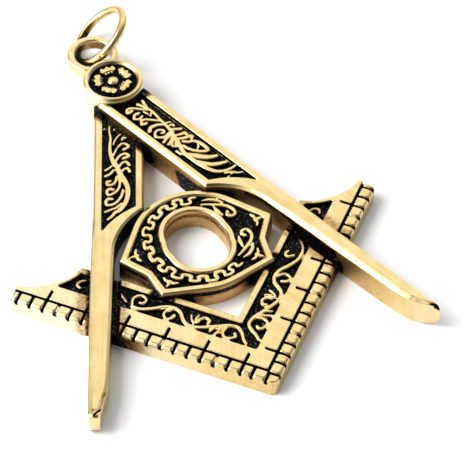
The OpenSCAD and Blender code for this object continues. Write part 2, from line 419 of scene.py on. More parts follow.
def leg_body(name, length, height, shape, brow, heel, dome, groove):
    """One leg with its panel, drawn pointing along -Y with its outer edge on +X. Millimetres.

    shape says where across the leg its tip is, how far the outer edge stands out below, and how far the
    panel's inner rim slips. brow and heel round the tip above and below: how far and over what length. dome
    is how much the plain lower half swells, and groove gives the depth of the crease beside the bevel.
    """
    nose, widen, slip = shape
    inner_rim = panel_inner - slip

    def section(v):
        top = height - rounded_end(v, length, *brow)
        foot = rounded_end(v, length, *heel)
        rise = top - foot
        bevel = 0.26 + 0.06 * smoothstep(20, 25, v)
        left, crest, shoulder, right = leg_lines(v, length, nose, widen, slip)
        middle = (left + right) / 2
        swell = dome * smoothstep(21, 24, v)
        # The panel's inner edge swings out to a point
        arc = panel_ogee_radius ** 2 - (panel_ogee[1] - v) ** 2
        open_to = max(inner_rim, panel_ogee[0] + math.sqrt(arc)) if arc > 0 else inner_rim
        width = panel_outer - open_to
        crease = min(groove(v), (shoulder - crest) * 0.2)
        if width > 0.12 and v < 22.3:
            floor = top - panel_depth * smoothstep(0.1, 0.5, width)
            slot = [(panel_outer, top, 0.1), (panel_outer, floor, 0.08),
                    (open_to, floor, 0.08), (open_to, top, 0.1)]
        else:
            spread = np.linspace(shoulder, crest + 2.4 * crease, 6)[1:-1]
            slot = [(float(u), top - swell * ((u - middle) / 1.2) ** 2, 0.05) for u in spread]
        return rounded_section([
            (right, foot, 0.1),
            (right, foot + rise * 0.33, 0.1),
            (right, foot + rise * 0.66, 0.1),
            (right, top - min(0.34 - 0.6 * widen * smoothstep(19, 23, v), rise * 0.2), 0.15),
            (shoulder, top - swell * 0.8, 0.15 + widen / 2),
            *slot,
            (crest + 2.4 * crease, top - swell * 0.4, 0.06),
            (crest + 1.2 * crease, top - swell * 0.4 - crease, 0.05),
            (crest, top - swell * 0.4, 0.06),
            (left, top - min(bevel, rise * 0.2), 0.12),
            (left, foot + rise * 0.55, 0.1),
            (left, foot + rise * 0.28, 0.1),
            (left, foot, 0.1),
        ])

    # The stations are closest where the edge bends and at the tip
    stations = []
    for start, stop, step in ((leg_start, 17.6, 0.3), (17.6, 25.4, 0.1), (25.4, length - 3.2, 0.4),
                              (length - 3.2, length - 1.2, 0.1), (length - 1.2, length - 0.02, 0.04)):
        stations += list(np.arange(start, stop, step))
    rings = [[(p.x, -v, p.y) for p in section(v)] for v in (*stations, length)]
    vertices = [p for ring in rings for p in ring]
    return new_piece(name, vertices, [], tube_faces(len(rings), len(rings[0])))


def leg_places(leg, length, shape):
    """A leg's vertices: across, along and up, and where its inner edge and its crest run there."""
    at = coordinates(leg)
    stations, which = np.unique(-at[:, 1], return_inverse=True)
    lines = np.array([leg_lines(v, length, *shape)[:2] for v in stations])[which]
    return at[:, 0], -at[:, 1], at[:, 2], lines[:, 0], lines[:, 1]


def in_place(points, place):
    """Points of a piece as they lie in the pendant."""
    return points @ np.array(place.to_3x3()).T + np.array(place.translation)


def beside_leg(places, side, length):
    """How far points lie from a leg's inner edge and from its outer edge, each 99 on the leg's other side.

    side is 1 for the right leg and -1 for the left one.
    """
    x, y = places[:, 0] * side, places[:, 1]
    across = x * math.cos(leg_angle) + y * math.sin(leg_angle)
    along = x * math.sin(leg_angle) - y * math.cos(leg_angle)
    stations = np.linspace(0, length, 300)
    edge = np.interp(along, stations, [leg_inner_edge(v, length) for v in stations])
    past_tip = np.maximum(along - length, 0) * 10
    inner, outer = edge - across + past_tip, across - leg_outer + past_tip
    return np.where(inner > outer, inner, 99), np.where(inner > outer, 99, outer)


def beside_legs(places):
    """How far points lie from the inner edge and from the outer edge of the nearer leg."""
    return np.minimum(beside_leg(places, 1, right_length), beside_leg(places, -1, left_length))


def nose_marks(u, v, up, dash_line, length, height, brow):
    """How black a leg's tip is: a short dash at the end of a line, with fainter brown before it."""
    to_end = length - v
    on_top = height - rounded_end(v, length, *brow) - up < 0.2
    dash = between(to_end, 0.08, 1.2, 0.15) * between(u - dash_line, -0.2, 0.14, 0.05)
    brown_before_dash = 0.3 * fade(1.2, 2.6, to_end) * between(u - dash_line, 0, 0.5, 0.1)
    return np.maximum(dash, brown_before_dash) * on_top


right_leg_height = 3.35
right_length = 48.2
right_shape = (1.95, 0, 0.16)
right_brow = (1.1, 1.0)
right_place = Matrix.Rotation(leg_angle, 4, "Z")
left_leg_height = 2.7
left_length = 47.1
left_shape = (1.15, 0.2, 0)
left_brow = (0.3, 0.45)
left_place = Matrix.Scale(-1, 4, (1, 0, 0)) @ right_place
right_leg = leg_body("right_leg", right_length, right_leg_height, right_shape, right_brow, (1.6, 2.4), 0.03,
                     lambda v: 0.065 * (1 - 0.9 * between(v, 16, 28, 2)))
u, v, up, edge, crest = leg_places(right_leg, right_length, right_shape)
on_wall = (u < edge + 0.06) & (up < right_leg_height - 0.45)
# The inner wall: brown above the bend, black round it, tan again below a black edge, black over the square
slanted = v - 0.45 * (right_leg_height - up)
tan_wall = on_wall * between(v, 20.5, 28.8, 0.8) * fade(2.1, 2.5, up)
wall_black = on_wall * np.maximum.reduce([
    0.97 * between(slanted, 12.4, 27, 1.6),
    0.27 * between(v, 4, 15, 1.0),
    0.95 * between(v, 26.3, 35.4, 0.9),
])
in_groove = (abs(u - crest - 0.08) < 0.07) * (up > right_leg_height - 0.45)
# The outer rim is dark where it comes out from under the hub
at_hub = (u > 1.0) * fade(3.7, 5.0, v)
leg_black = np.maximum.reduce([
    wall_black * (1 - tan_wall) + 0.08 * tan_wall,
    0.3 * in_groove * (1 - between(v, 16, 28, 1.5)) * fade(45, 46, v),
    nose_marks(u, v, up, crest, right_length, right_leg_height, right_brow),
    0.75 * at_hub,
])
# Towards the tip the walls lose the tan cast skin and are painted pale, a painted reflection of bright
# surroundings
finish_casting(right_leg, right_place, sunk=leg_black, level=-tan_wall,
               cast_walls=1 - 1.3 * smoothstep(38, 47, v))
left_leg = leg_body("left_leg", left_length, left_leg_height, left_shape, left_brow, (0.7, 1.0), 0.09,
                    lambda v: 0.08 * between(v, left_length - 2.6, left_length - 0.6, 0.8))
u, v, up, edge, crest = leg_places(left_leg, left_length, left_shape)
on_wall = (u < edge + 0.06) & (up < left_leg_height - 0.4)
# The dash slants across the square tip, with a brown spot beside it
dash_line = np.maximum(2.0 - 0.885 * (left_length - v), 0.95)
spot = 0.5 * np.exp(-((u - 1.85) / 0.25) ** 2 - ((left_length - v - 0.95) / 0.3) ** 2)
# The leg starts in the corner under the right one, where the polishing wheel didn't reach
under_right = beside_leg(in_place(coordinates(left_leg), left_place), 1, right_length)[0]
leg_black = np.maximum.reduce([
    0.85 * on_wall * between(v, 18, 32, 2.0),
    nose_marks(u, v, up, dash_line, left_length, left_leg_height, left_brow),
    spot * (up > left_leg_height - 0.6),
    0.9 * fade(0.6, 2.0, under_right),
])
left_leg.data.flip_normals()
# The outer wall of the upper half and the tip are painted pale, a painted reflection of the light from the
# left; the other walls keep some cast skin
finish_casting(left_leg, left_place, sunk=leg_black,
               cast_walls=0.4 - 0.9 * smoothstep(1.2, 1.8, u) * fade(19, 24, v) - 0.6 * smoothstep(42, 46, v))


# Scroll panels of the compasses
# Fronds stand up from the blackened floor of each panel. They were carved in the wax and their tops polished
# flat with the rims. Each is a stem, its widths along the way, and the points that it runs through.
def smooth_line(points, steps):
    """A smooth line through points, each given as (x, y)."""
    points = [Vector(p) for p in points]
    padded = [points[0] * 2 - points[1], *points, points[-1] * 2 - points[-2]]
    line = []
    for k in range(1, len(padded) - 2):
        a, b, c, d = padded[k - 1:k + 3]
        for step in range(steps):
            t = step / steps
            line.append(0.5 * (2 * b + (c - a) * t + (2 * a - 5 * b + 4 * c - d) * t ** 2
                               + (3 * b - a - 3 * c + d) * t ** 3))
    return [*line, points[-1]]


def ridge(widths, points, floor, top, flare, steps=6):
    """A raised stroke with round ends and sloping sides, as vertices and faces."""
    line = smooth_line(points, steps)
    along = np.cumsum([0.0, *[(b - a).length for a, b in zip(line, line[1:])]])
    width_at = np.interp(along / along[-1], np.linspace(0, 1, len(widths)), widths)
    stations = []
    for k, place in enumerate(line):
        heading = (line[min(k + 1, len(line) - 1)] - line[max(k - 1, 0)]).normalized()
        stations.append((place, heading, width_at[k]))
    start, end = stations[0], stations[-1]
    for share in (0.5, 0.87, 1.0):
        slim = max(math.sqrt(1 - share * share), 0.08)
        stations.insert(0, (start[0] - start[1] * start[2] / 2 * share, start[1], start[2] * slim))
        stations.append((end[0] + end[1] * end[2] / 2 * share, end[1], end[2] * slim))
    vertices = []
    crown = min(0.2, (top - floor) * 0.45)
    for place, heading, width in stations:
        side = Vector((-heading.y, heading.x))
        half = width / 2
        for off, up in ((half + flare, floor), (half * 0.92, top - crown), (half * 0.5, top),
                        (-half * 0.5, top), (-half * 0.92, top - crown), (-half - flare, floor)):
            vertices.append((*(place + side * off), up))
    return vertices, tube_faces(len(stations), 6)


def slab(outline, floor, top):
    """A flat plate with straight sides over an outline, as vertices and faces."""
    return [(x, y, z) for z in (floor, top) for x, y in outline], tube_faces(2, len(outline))


def fuse(name, solids, voxel, polish, bottom, smooth, foot=False):
    """Fuses solids into one cast skin, softened, polished flat at one height and cut off below.

    With foot, its walls go on from there straight down to the back.
    """
    vertices, faces = [], []
    for more_vertices, more_faces in solids:
        faces += [[len(vertices) + k for k in face] for face in more_faces]
        vertices += more_vertices
    piece = new_piece(name, vertices, [], faces)
    remesh = piece.modifiers.new("skin", "REMESH")
    remesh.mode = "VOXEL"
    remesh.voxel_size = voxel
    remesh.adaptivity = 0
    soften = piece.modifiers.new("soften", "SMOOTH")
    soften.factor = 0.5
    soften.iterations = smooth
    bpy.ops.object.modifier_apply(modifier="skin")
    bpy.ops.object.modifier_apply(modifier="soften")
    places = coordinates(piece)
    places[:, 2] = np.minimum(places[:, 2], polish)
    piece.data.vertices.foreach_set("co", places.ravel())
    piece.data.update()
    bpy.ops.object.mode_set(mode="EDIT")
    bpy.ops.mesh.select_all(action="SELECT")
    bpy.ops.mesh.bisect(plane_co=(0, 0, bottom), plane_no=(0, 0, 1), use_fill=not foot, clear_inner=True)
    if foot:
        for share in (0.45, 0.5, 0.05):
            bpy.ops.mesh.extrude_edges_move(TRANSFORM_OT_translate={"value": (0, 0, -bottom * share)})
        bpy.ops.mesh.fill()
        bpy.ops.mesh.select_all(action="SELECT")
        bpy.ops.mesh.normals_make_consistent(inside=False)
    bpy.ops.object.mode_set(mode="OBJECT")
    return piece


def scroll_panel(name, strokes, height, place, mirrored=False):
    """The floor and the strokes of one leg's panel, drawn as the leg is."""
    floor = height - panel_depth
    outline = [(1.35, -22.2), (0.8, -21.2), (-0.2, -20.0), (-1.5, -18.9), (-2.75, -18.3), (-2.75, -2.4),
               (1.35, -2.4)]
    solids = [slab(outline, floor - 0.3, floor + 0.02)]
    for widths, points in strokes:
        solids.append(ridge(widths, [(u, -v) for u, v in points], floor - 0.05, height + 0.11, flare=0.05))
    piece = fuse(name, solids, 0.05, height - 0.02, floor - 0.1, smooth=4)
    if mirrored:
        piece.data.flip_normals()
    finish_casting(piece, place, sunk=fade(height - 0.3, height - 0.13, coordinates(piece)[:, 2]))


right_fronds = [
    # The stem, and the hooks that leave it on the side of the axis
    ((0.3, 0.32, 0.45, 0.55, 0.55, 0.5, 0.3), [
        (0.08, 5.7), (0.13, 6.2), (0.04, 7.1), (-0.1, 7.7), (-0.19, 8.45), (-0.33, 9.4), (-0.5, 10.1),
        (-0.78, 10.8), (-0.96, 11.45), (-1.24, 12.1), (-1.55, 12.8), (-1.74, 13.5), (-1.76, 14.3),
        (-1.74, 15.5), (-1.65, 16.4), (-1.46, 17.2), (-1.15, 17.9), (-0.7, 18.3), (-0.24, 18.55),
        (0.4, 18.7), (0.95, 18.7)]),
    ((0.42, 0.35, 0.3), [
        (-1.5, 4.7), (-2.05, 4.65), (-1.8, 4.23), (-1.33, 4.27), (-0.87, 4.73), (-0.55, 5.2), (-0.1, 5.8)]),
    ((0.42, 0.36, 0.34), [(-1.2, 5.45), (-1.7, 5.38), (-2.1, 5.77), (-1.8, 6.18), (-1.24, 6.1)]),
    ((0.42, 0.36, 0.3), [
        (-1.65, 7.2), (-2.1, 7.05), (-1.8, 6.6), (-1.33, 6.68), (-0.96, 7.1), (-0.6, 7.55), (-0.24, 8.0)]),
    ((0.55, 0.5, 0.35), [(-2.2, 8.36), (-1.8, 8.05), (-1.33, 8.1), (-0.87, 8.27), (-0.5, 8.6)]),
    ((0.45, 0.42, 0.32, 0.28), [
        (-0.46, 10.2), (-0.87, 10.1), (-1.5, 10.2), (-2.05, 9.9), (-2.28, 9.45), (-2.05, 9.05),
        (-1.6, 8.86), (-1.2, 9.05), (-1.0, 9.36), (-1.24, 9.64), (-1.46, 9.5)]),
    ((0.4, 0.3), [(-2.24, 10.7), (-1.8, 10.55), (-0.9, 10.4)]),
    ((0.38, 0.28), [(-2.1, 11.3), (-1.6, 11.1), (-1.05, 10.8)]),
    ((0.34, 0.28), [(-1.96, 11.85), (-1.74, 11.45), (-1.15, 11.1)]),
    ((0.3, 0.25), [(-1.74, 12.1), (-1.33, 11.6)]),
    ((0.35, 0.3), [(-2.2, 12.7), (-2.15, 13.4)]),
    # The bud above the stem
    ((0.4, 0.3), [(-0.3, 4.4), (-0.1, 5.0), (0.05, 5.6)]),
    ((0.4, 0.3), [(0.45, 4.4), (0.25, 5.0), (0.08, 5.6)]),
    ((0.22,), [(-0.6, 5.7), (-0.5, 6.3)]),
    ((0.25,), [(-0.5, 6.7), (-0.15, 6.4)]),
    # The hooks and lobes on the outer side
    ((0.3, 0.25), [(-0.1, 8.75), (0.15, 8.75), (0.4, 8.95)]),
    ((0.3, 0.28), [(0.04, 9.27), (0.35, 9.36), (0.3, 9.64)]),
    ((0.3, 0.42, 0.4), [(-0.24, 9.8), (0.04, 10.1), (0.4, 10.4), (0.54, 10.5)]),
    ((0.35, 0.45, 0.4), [(-0.5, 10.9), (-0.05, 11.1), (0.4, 11.2), (0.45, 11.5)]),
    ((0.4, 0.5, 0.42), [(-0.6, 11.5), (-0.15, 11.8), (0.4, 11.95), (0.63, 12.2), (0.4, 12.4)]),
    ((0.4, 0.42, 0.45, 0.4, 0.35), [
        (-0.6, 12.1), (-0.24, 12.55), (0.2, 12.8), (0.55, 13.4), (0.6, 14.5), (0.4, 14.95), (-0.1, 14.7),
        (-0.6, 14.1), (-0.95, 13.3), (-1.05, 12.6)]),
    ((0.25, 0.3, 0.2), [(0.3, 13.5), (0.0, 13.85), (-0.3, 14.0)]),
    # The long leaves below
    ((0.35, 0.75, 0.7, 0.45), [(-1.5, 13.9), (-1.15, 14.5), (-0.75, 15.2), (-0.2, 15.8), (0.45, 16.2)]),
    ((0.35, 0.62, 0.6, 0.4), [(-1.55, 15.4), (-1.24, 16.1), (-0.78, 16.8), (-0.05, 17.3), (0.58, 17.6)]),
    ((0.3, 0.36, 0.2), [(-0.6, 18.8), (-0.05, 19.1), (0.4, 19.7), (0.85, 19.95)]),
    ((0.2,), [(-0.9, 19.4), (-0.7, 19.4)]),
    ((0.2,), [(-0.25, 19.3), (-0.15, 19.35)]),
]
left_fronds = [
    ((0.2, 0.3, 0.45, 0.6, 0.7, 0.62, 0.6, 0.55, 0.3), [
        (0.42, 6.2), (0.42, 7.0), (0.28, 8.0), (0.33, 9.0), (0.33, 10.0), (0.19, 10.8), (-0.04, 11.6),
        (-0.4, 12.2), (-0.58, 12.8), (-0.76, 13.3), (-0.95, 13.8), (-1.35, 14.6), (-1.63, 15.5),
        (-1.67, 16.4), (-1.54, 17.3), (-1.26, 18.1), (-0.76, 18.9), (-0.3, 19.2), (0.1, 19.8),
        (0.5, 20.2)]),
    # Branches and hooks on the side of the axis
    ((0.2,), [(-0.8, 7.45), (-0.5, 7.8), (-0.2, 8.4), (-0.04, 9.0)]),
    ((0.25,), [(-0.4, 9.7), (-0.17, 10.3), (-0.04, 10.7)]),
    ((0.3, 0.25), [(-1.35, 8.0), (-1.1, 7.95), (-1.0, 8.3)]),
    ((0.28, 0.3, 0.42), [(-0.55, 9.4), (-0.95, 8.9), (-1.4, 8.9), (-1.75, 9.3), (-1.2, 9.75)]),
    ((0.3, 0.35, 0.42), [
        (-0.2, 11.8), (-0.58, 11.0), (-0.95, 10.55), (-1.45, 10.4), (-1.76, 10.8), (-1.2, 11.1)]),
    ((0.3, 0.32, 0.4), [(-0.76, 12.3), (-1.04, 11.8), (-1.5, 11.65), (-1.8, 12.1)]),
    ((0.3, 0.32, 0.4), [(-1.0, 13.1), (-1.2, 12.8), (-1.6, 12.6), (-1.85, 13.1)]),
    # Hooks on the outer side
    ((0.25, 0.32), [(0.1, 12.27), (0.42, 12.6), (0.78, 12.9)]),
    ((0.3, 0.36), [(-0.08, 12.9), (0.24, 13.4), (0.78, 13.8)]),
    ((0.35, 0.32, 0.4), [
        (-0.45, 13.9), (-0.26, 14.7), (0.05, 15.05), (0.5, 15.1), (0.65, 14.7), (0.33, 14.55)]),
    ((0.32, 0.32, 0.4), [
        (-0.76, 14.2), (-0.76, 15.2), (-0.5, 15.95), (-0.04, 16.4), (0.42, 16.6), (0.65, 16.1),
        (0.33, 15.7), (-0.04, 15.8)]),
    ((0.34, 0.34, 0.42), [
        (-1.13, 15.95), (-0.95, 16.8), (-0.58, 17.5), (-0.13, 17.95), (0.5, 18.1), (0.74, 17.7),
        (0.5, 17.2), (0.1, 17.2)]),
    ((0.3,), [(-0.95, 17.9), (-0.4, 18.5), (0.24, 18.8), (0.78, 19.1)]),
    ((0.2,), [(-0.15, 6.65), (-0.1, 6.75)]),
    ((0.2,), [(0.95, 6.6), (1.0, 6.65)]),
]
scroll_panel("right_leg_scroll", right_fronds, right_leg_height, right_place)
scroll_panel("left_leg_scroll", left_fronds, left_leg_height, left_place, mirrored=True)


# Hub
# The round boss where the legs cross: a turned disc with a rounded rim round a sunk, blackened floor.
def spin(steps, angle):
    """Spins the active piece's line about Z, closes its ends and turns its faces outwards."""
    bpy.ops.object.mode_set(mode="EDIT")
    bpy.ops.mesh.select_all(action="SELECT")
    bpy.ops.mesh.spin(steps=steps, angle=angle, center=(0, 0, 0), axis=(0, 0, 1))
    bpy.ops.mesh.select_all(action="SELECT")
    if angle < 2 * math.pi:
        bpy.ops.mesh.fill_holes(sides=40)
        bpy.ops.mesh.select_all(action="SELECT")
    bpy.ops.mesh.remove_doubles(threshold=0.0005)
    bpy.ops.mesh.normals_make_consistent(inside=False)
    bpy.ops.object.mode_set(mode="OBJECT")


def turned(name, profile):
    """A solid of revolution about Z from a profile of (radius, height) points."""
    edges = [(k, k + 1) for k in range(len(profile) - 1)]
    piece = new_piece(name, [(r, 0, z) for r, z in profile], edges, [])
    spin(128, 2 * math.pi)
    return piece


hub = turned("hub", [
    (0, 0), (2, 0), (3.4, 0), (3.47, 0.03), (3.5, 0.1), (3.5, 0.8), (3.5, 1.6), (3.5, 2.4), (3.5, 3.0),
    (3.5, 3.35), (3.485, 3.55), (3.43, 3.73), (3.34, 3.87), (3.22, 3.96), (3.08, 4.0), (2.95, 3.98),
    (2.84, 3.91), (2.76, 3.8), (2.63, 3.68), (2.55, 3.58), (2.51, 3.48), (2.47, 3.42), (2.4, 3.4), (1.6, 3.4),
    (0.8, 3.4), (0, 3.4),
])
hub_at = coordinates(hub)
inside_rim = np.hypot(hub_at[:, 0], hub_at[:, 1]) < 2.75
# The hub's wall is painted pale on its left side, a painted reflection of the light from the left, and keeps
# a little cast skin elsewhere
finish_casting(hub, Matrix.Identity(4), sunk=inside_rim * fade(3.62, 3.84, hub_at[:, 2]),
               cast_walls=0.2 - 0.9 * fade(-2.5, 0.5, hub_at[:, 0]))


# Rose
# Five petals, each an arc with three scallops outside and folds inside, round a domed button. It is cast with
# the hub and polished on top.
rose_floor = 3.38
petal_top = 4.02
fold_top = 3.86


def at_angle(radius, angle, centre=(0, 0)):
    """The point at a radius and an angle in degrees from a centre."""
    angle = math.radians(angle)
    return centre[0] + radius * math.cos(angle), centre[1] + radius * math.sin(angle)


rose_solids = [slab([at_angle(2.55, k * 7.5) for k in range(48)], 3.1, rose_floor + 0.03)]
for petal in range(5):
    middle = 90 + 72 * petal
    arc = [at_angle(1.72, middle + turn) for turn in (-19, -10, 0, 10, 19)]
    rose_solids.append(ridge((0.68,), arc, rose_floor, petal_top, flare=0.06))
    for turn in (-19, 0, 19):
        scallop = [at_angle(radius, middle + turn) for radius in (1.76, 1.86)]
        rose_solids.append(ridge((0.62,), scallop, rose_floor, petal_top, flare=0.06))
    for turn in (-16, 0, 16):
        fold = [at_angle(radius, middle + turn) for radius in (1.15, 1.5)]
        rose_solids.append(ridge((0.12, 0.3), fold, rose_floor, fold_top, flare=0.03))
for layer_radius, layer_top in ((0.7, 3.6), (0.64, 3.76), (0.54, 3.88), (0.38, 3.94), (0.2, 3.97)):
    rose_solids.append(slab([at_angle(layer_radius, k * 15) for k in range(24)], 3.3, layer_top))
rose = fuse("rose", rose_solids, 0.045, 3.95, 3.25, smooth=3)
finish_casting(rose, Matrix.Identity(4), sunk=fade(3.58, 3.76, coordinates(rose)[:, 2]))


# Eye
# A band of gold at the top that the jump ring hangs from, soldered to the hub by a short neck.
eye_hole = 2.1
eye_outer = 2.98
eye_foot = 1.3
eye_top = 2.7
eye_line = rounded_section([
    (eye_hole, eye_foot, 0.26), (eye_outer, eye_foot, 0.3),
    (eye_outer, eye_top, 0.36), (eye_hole, eye_top, 0.3),
], steps=5)
eye = turned("eye", [tuple(p) for p in (*eye_line, eye_line[0])])
eye_at = coordinates(eye)
# Inside, the hole is blackened, and painted shade makes its left side darker, the side that faces away from
# the light
hole_patina_and_shade = fade(2.12, 2.3, np.hypot(eye_at[:, 0], eye_at[:, 1])) * fade(2.35, 2.62, eye_at[:, 2])
hole_patina_and_shade *= 0.4 + 0.35 * fade(-1.6, 0.2, eye_at[:, 0])
# The band is painted pale all over, most on its walls: a painted reflection of bright surroundings
finish_casting(eye, Matrix.Translation((-0.15, 6.05, 0)), sunk=hole_patina_and_shade, level=-0.45, cast_walls=-0.3)
none_selected()
bpy.ops.mesh.primitive_cube_add(size=1, location=(0, 2.75, 2.0))
neck = bpy.context.object
neck.name = "neck"
neck.scale = (2.4, 2.0, 0.8)
bpy.ops.object.transform_apply(location=True, rotation=True, scale=True)
neck_rounding = neck.modifiers.new("rounding", "BEVEL")
neck_rounding.width = 0.25
neck_rounding.segments = 5
bpy.ops.object.modifier_apply(modifier="rounding")
finish_casting(neck, Matrix.Identity(4), cast_walls=0.1)


# Square
# Two ruled arms cast in one with the corner: a row of pillow-shaped teeth outside a deep groove, a flat
# polished band with a longer mark at every third tooth, then a recessed scroll and a thin rim.
arm_length = 28.7
arm_inner = 5.36
square_height = 2.0
corner_drop = 43.7
corner_radius = 0.8
tooth_pitch = 1.49
tooth_count = 18
first_cut = 2.5
cut_width = 0.22
mark_length = 1.3
mark_half_width = 0.14
band_width = 2.0
rim_start = 4.66
field_height = 1.45
band_foot = 1.4
# The wax stands a little proud of the height that it is polished down to
proud_top = square_height + 0.03
end_centre = (arm_length + 1.27, arm_inner + 1.86)
end_radius = 6.92
panel_end_radius = 7.37
# The roundel's drop from the hub, its radius and its right-hand points, for the square is stained beside it
roundel_drop = 24.85
roundel_outer = 7.2
side_point = (8.9, 0.3)
lower_point = (6.5, -5.85)


def both_arms(points):
    """An arm's points (along, inward) for the right arm and, changed over, for the left."""
    return [list(points), [(t, s) for s, t in points][::-1]]


def end_at(radius, t):
    """How far along the arm its swept-out end, or a line beside it, lies at t inward."""
    return end_centre[0] - math.sqrt(radius ** 2 - (end_centre[1] - t) ** 2)


first_s = end_at(end_radius, arm_inner)
last_t = end_centre[1] - math.sqrt(end_radius ** 2 - (end_centre[0] - arm_length) ** 2)
end_curve = [at_angle(end_radius, 180 + 7.5 * k, end_centre) for k in range(13)]
end_curve = [(s, t) for s, t in end_curve if t < arm_inner and s < arm_length]
tip = [(arm_length, last_t), *end_curve[::-1], (first_s, arm_inner)]
corner = (-corner_radius, -corner_radius)
far_corner = (arm_length - corner_radius, -corner_radius)
base = [corner, *[at_angle(corner_radius, 225 + 7.5 * k, corner) for k in range(7)]]
base += [at_angle(corner_radius, 270 + 15 * k, far_corner) for k in range(7)]
base += [*tip, (arm_inner, arm_inner)]
# The polished band, notched by the marks, with the solid end beyond the panel
band = [(-0.02, -0.02)]
for k in range(0, tooth_count, 3):
    start = first_cut + k * tooth_pitch - mark_half_width
    end = start + 2 * mark_half_width
    band += [(start, 0), (start, mark_length), (end, mark_length), (end, 0)]
band += [(arm_length, 0), *tip, (first_s - 0.3, arm_inner)]
band += [(end_at(panel_end_radius, t), t) for t in np.linspace(rim_start, band_width, 9)]
band.append((band_width, band_width))
rim = [(rim_start, rim_start), (end_at(panel_end_radius, rim_start) + 0.3, rim_start), (first_s, 4.9),
       (first_s, arm_inner), (arm_inner, arm_inner)]
square_solids = []
layers = ((base, 0, field_height), (band, band_foot, proud_top), (rim, band_foot, proud_top))
for outline, foot, top in layers:
    for arm in both_arms(outline):
        square_solids.append(slab(arm, foot, top))

# The ruler's edge: a pillow between each two cuts, with a crease along it
pillow = [(-0.27, 1.4), (-0.27, 1.9), (-0.36, 2.03), (-0.95, 2.03), (-1.2, 1.99), (-1.42, 1.88),
          (-1.56, 1.68), (-1.6, 1.35)]
cuts = [-0.3, first_cut / 2, *[first_cut + k * tooth_pitch for k in range(tooth_count)], arm_length]
for start, end in zip(cuts, cuts[1:]):
    end -= cut_width / 2 if end < arm_length else 0.3
    start += cut_width / 2
    vertices = []
    for s, drop in ((start, 0.14), (start + 0.13, 0), (end - 0.13, 0), (end, 0.14)):
        vertices += [(s, t, z - (drop if z > 1.7 else 0)) for t, z in pillow]
    faces = tube_faces(4, len(pillow))
    square_solids.append((vertices, [face[::-1] for face in faces]))
    square_solids.append(([(t, s, z) for s, t, z in vertices], faces))
corner_block = [(-1.0, -1.5), (-1.3, -1.3), (-1.5, -1.0), (-1.5, -0.45), (-0.45, -0.45), (-0.45, -1.5)]
square_solids.append(slab(corner_block, band_foot, 1.93))

# The vine of both arms, and how it ends on each
common_vine = [
    ((0.36, 0.456, 0.48, 0.456, 0.432), [
        (3.3, 2.3), (3.8, 2.8), (4.2, 3.4), (4.67, 3.9), (5.1, 4.05), (6.0, 3.85), (6.9, 3.35), (7.7, 2.95),
        (8.6, 2.5), (9.5, 2.3), (10.25, 2.5), (10.8, 3.05), (11.3, 3.67), (12.1, 3.95), (13.0, 3.75),
        (13.85, 3.2), (14.5, 2.8), (15.3, 2.45), (16.2, 2.4)]),
    ((0.3, 0.35, 0.4), [(6.0, 3.5), (6.1, 2.8), (5.8, 2.3), (5.2, 2.3), (4.7, 2.7), (4.9, 3.1)]),
    ((0.35, 0.3), [(6.8, 2.2), (6.6, 2.8), (6.4, 3.4)]),
    ((0.28, 0.22), [(7.4, 2.4), (7.15, 3.0)]),
    ((0.3, 0.35, 0.42), [(9.0, 3.1), (8.95, 3.55), (8.5, 3.95), (7.95, 3.7), (8.0, 3.35)]),
    ((0.25,), [(9.1, 3.0), (9.4, 3.4), (9.25, 3.95)]),
    ((0.25,), [(9.4, 2.8), (9.8, 3.2), (10.0, 3.7)]),
    ((0.3, 0.35, 0.42), [(12.2, 3.6), (12.7, 3.2), (12.75, 2.7), (12.3, 2.2), (11.8, 2.55), (11.7, 2.95)]),
    ((0.3, 0.36, 0.3), [(22.3, 2.7), (22.8, 2.95), (22.7, 3.5), (22.2, 3.85)]),
]
right_vine = [
    ((0.36, 0.3), [(16.2, 2.4), (16.9, 2.55), (17.6, 3.0), (18.3, 3.55)]),
    ((0.3, 0.36), [(15.6, 3.1), (15.2, 3.67), (15.5, 4.05), (15.9, 3.9)]),
]
left_vine = [
    ((0.25,), [(17.05, 2.8), (17.7, 3.3), (18.4, 3.8)]),
    ((0.3,), [(16.3, 2.5), (16.55, 3.4), (16.3, 4.0), (15.7, 4.2), (15.2, 3.8), (15.3, 3.3), (15.7, 3.2)]),
]
left_strokes = [(widths, [(t, s) for s, t in points]) for widths, points in common_vine + left_vine]
for widths, points in common_vine + right_vine + left_strokes:
    square_solids.append(ridge(widths, points, field_height, square_height + 0.1, flare=0.1))
square = fuse("square", square_solids, 0.089, square_height, 1.3, smooth=4, foot=True)
square_place = Matrix.Translation((0, -corner_drop, 0)) @ Matrix.Rotation(math.radians(45), 4, "Z")

# The last tooth's outer corner is rounded like the plate below it
square_at = coordinates(square)
square_s = np.maximum(square_at[:, 0], square_at[:, 1])
square_t = np.minimum(square_at[:, 0], square_at[:, 1])
along = square_s - arm_length + corner_radius
inward = square_t + corner_radius
reach = np.maximum(np.hypot(along, inward), 1e-6)
round_off = np.clip(reach - corner_radius + 0.02, 0, 0.5)
pull = (along > 0) * (inward < 0) * round_off / reach
left_arm = square_at[:, 1] > square_at[:, 0]
new_s, new_t = square_s - pull * along, square_t - pull * inward
square_at[:, 0] = np.where(left_arm, new_t, new_s)
square_at[:, 1] = np.where(left_arm, new_s, new_t)
# Beside the legs' inner edges the metal dips into the blackened corner that the wheel didn't reach
spread = in_place(square_at, square_place)
inside, outside = beside_legs(spread)
square_at[:, 2] = np.minimum(square_at[:, 2], 1.6 + 0.42 * smoothstep(0.45, 0.95, inside))
square.data.vertices.foreach_set("co", square_at.ravel())

